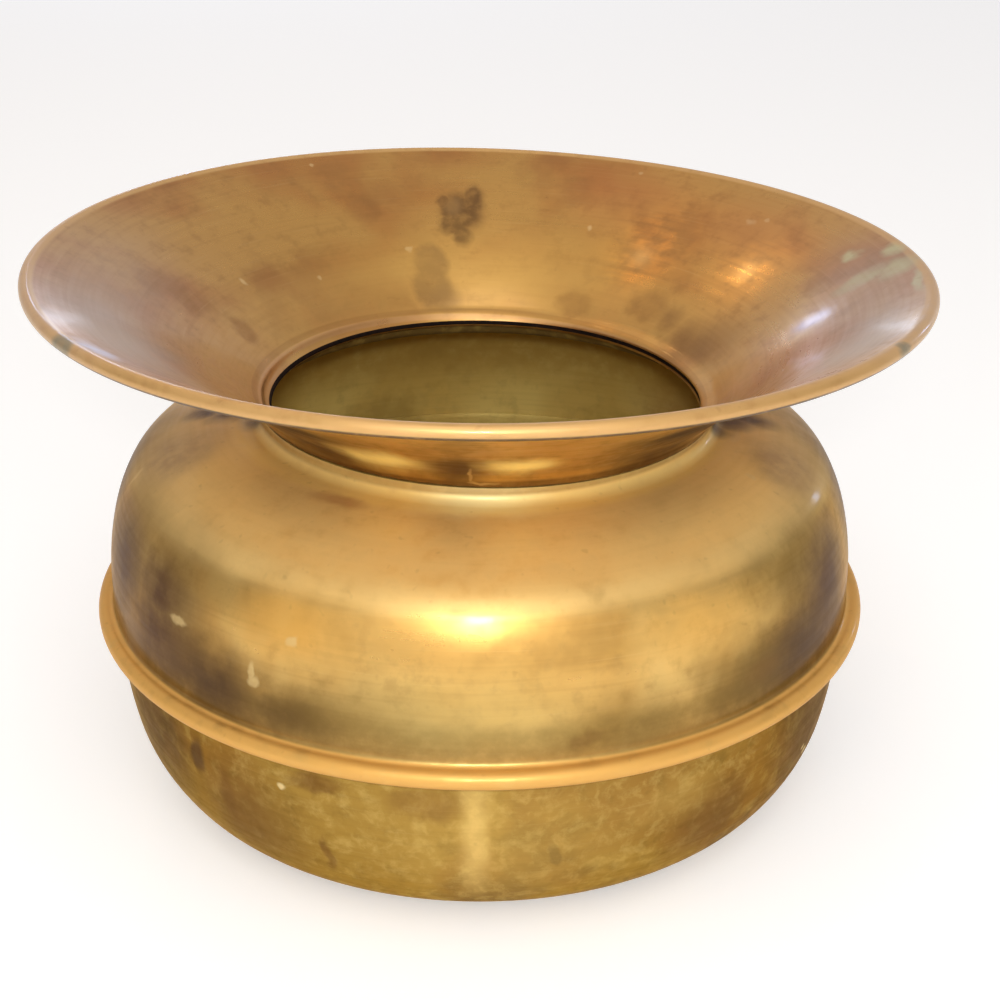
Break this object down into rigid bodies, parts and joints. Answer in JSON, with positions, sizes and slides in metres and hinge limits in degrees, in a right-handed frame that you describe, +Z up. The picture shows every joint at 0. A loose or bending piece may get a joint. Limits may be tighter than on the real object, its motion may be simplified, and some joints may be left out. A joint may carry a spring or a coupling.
{
  "type": "spittoon",
  "caption": "Squat spun-brass spittoon: weighted round bowl with a wired bead round its belly, raised collar and wide flared funnel top that lifts out.",
  "frame": {"origin": "centre of the base plate's underside, at table level", "axes": "+Z up along the bowl's axis of symmetry; +Y away from the viewer of the picture; +X to the picture's right"},
  "size_m": [0.254, 0.254, 0.1578],
  "materials": {
    "funnel_brass": "tarnished satin",
    "rim_wire_iron": "drawn iron wire",
    "upper_shell_brass": "worn polish with dark tarnish",
    "bead_wire_iron": "drawn iron wire",
    "lower_shell_brass": "worn polish with dark tarnish",
    "belly_solder_tin": "dull soft solder",
    "weight_iron": "rough cast",
    "base_plate_brass": "scuffed and tarnished",
    "base_solder_tin": "dull soft solder"
  },
  "bodies": {
    "vessel": {"upper_shell": "upper_shell_brass", "bead_wire": "bead_wire_iron", "belly_solder": "belly_solder_tin", "lower_shell": "lower_shell_brass", "base_weight": "weight_iron", "base_plate": "base_plate_brass", "base_solder": "base_solder_tin"},
    "funnel_top": {"funnel": "funnel_brass", "rim_wire": "rim_wire_iron"}
  },
  "joints": [
    {"name": "funnel_lift", "type": "slide", "parent": "vessel", "child": "funnel_top", "axis": [0, 0, 1], "range_m": [0, 0.06]}
  ]
}
